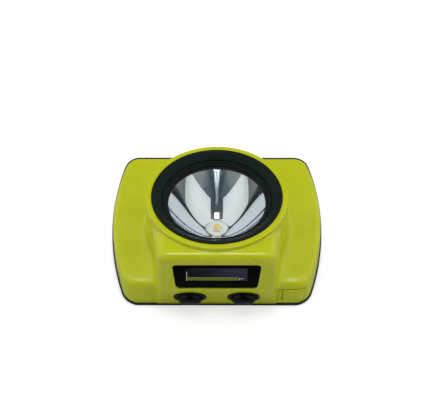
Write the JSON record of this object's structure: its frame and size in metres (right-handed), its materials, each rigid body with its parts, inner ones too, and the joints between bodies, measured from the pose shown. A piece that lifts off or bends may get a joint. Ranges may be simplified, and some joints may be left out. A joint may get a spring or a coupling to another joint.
{
  "type": "cordless miner's cap lamp",
  "caption": "Cordless cap lamp: two-winged shell, round head with a deep reflector, display block with a small window and push buttons, helmet clip on its back.",
  "frame": {"origin": "middle of the back face, which the lamp lies on; the helmet clip's tongue is flush with it there", "axes": "+X across the wings, to the right seen from the display side; +Y away from the display; +Z along the lamp's axis, out of the lens"},
  "size_m": [0.0808, 0.0669, 0.0337],
  "materials": {
    "shell_yellow": "fine moulded texture",
    "housing_dark": "moulded",
    "bezel_black": "satin",
    "seal_rubber": "matt",
    "button_rubber": "polished",
    "lens_glass": "clear",
    "window_glass": "smoked",
    "reflector_metal": "vacuum metallised",
    "led_ceramic": "ceramic",
    "led_silicone": "clear",
    "board_white": "solder mask",
    "board_green": "solder mask",
    "parts_black": "moulded",
    "panel_glass": "polished",
    "ribbon_film": "film",
    "cell_wrap": "film",
    "foam_grey": "foam",
    "lead_red": "silicone",
    "sink_metal": "machined",
    "steel": "brushed"
  },
  "bodies": {
    "lamp_body": {"front_shell": "shell_yellow", "rear_housing": "housing_dark", "case_seal": "seal_rubber", "case_screws": "steel", "bezel_ring": "bezel_black", "lens": "lens_glass", "lens_seal": "seal_rubber", "reflector": "reflector_metal", "led_base": "led_ceramic", "led_dome": "led_silicone", "led_board": "board_white", "heat_sink": "sink_metal", "heat_sink_screws": "steel", "display_window": "window_glass", "window_seal": "seal_rubber", "oled_panel": "panel_glass", "oled_board": "board_green", "display_ribbon": "ribbon_film", "button_rings": "button_rubber", "tact_switches": "parts_black", "switch_board": "board_green", "main_board": "board_green", "board_components": "parts_black", "battery_left": "cell_wrap", "battery_right": "cell_wrap", "battery_pads": "foam_grey", "battery_leads": "lead_red", "led_leads": "lead_red", "charge_board": "board_green", "charge_socket": "steel", "port_cover_pin": "steel", "helmet_clip": "steel", "clip_screws": "steel"},
    "left_button": {"button_left": "button_rubber", "plunger_left": "parts_black"},
    "right_button": {"button_right": "button_rubber", "plunger_right": "parts_black"},
    "cover": {"port_cover": "shell_yellow"}
  },
  "joints": [
    {"name": "button_left_press", "type": "slide", "parent": "lamp_body", "child": "left_button", "axis": [0, 0.9487, 0.3162], "range_m": [0, 0.001], "stiffness_N_per_m": 500},
    {"name": "button_right_press", "type": "slide", "parent": "lamp_body", "child": "right_button", "axis": [0, 0.9487, 0.3162], "range_m": [0, 0.001], "stiffness_N_per_m": 500},
    {"name": "port_cover_hinge", "type": "hinge", "parent": "lamp_body", "child": "cover", "pos_m": [0.0236, -0.0296, 0.0059], "axis": [0, 0, -1], "range_deg": [0, 95]}
  ]
}
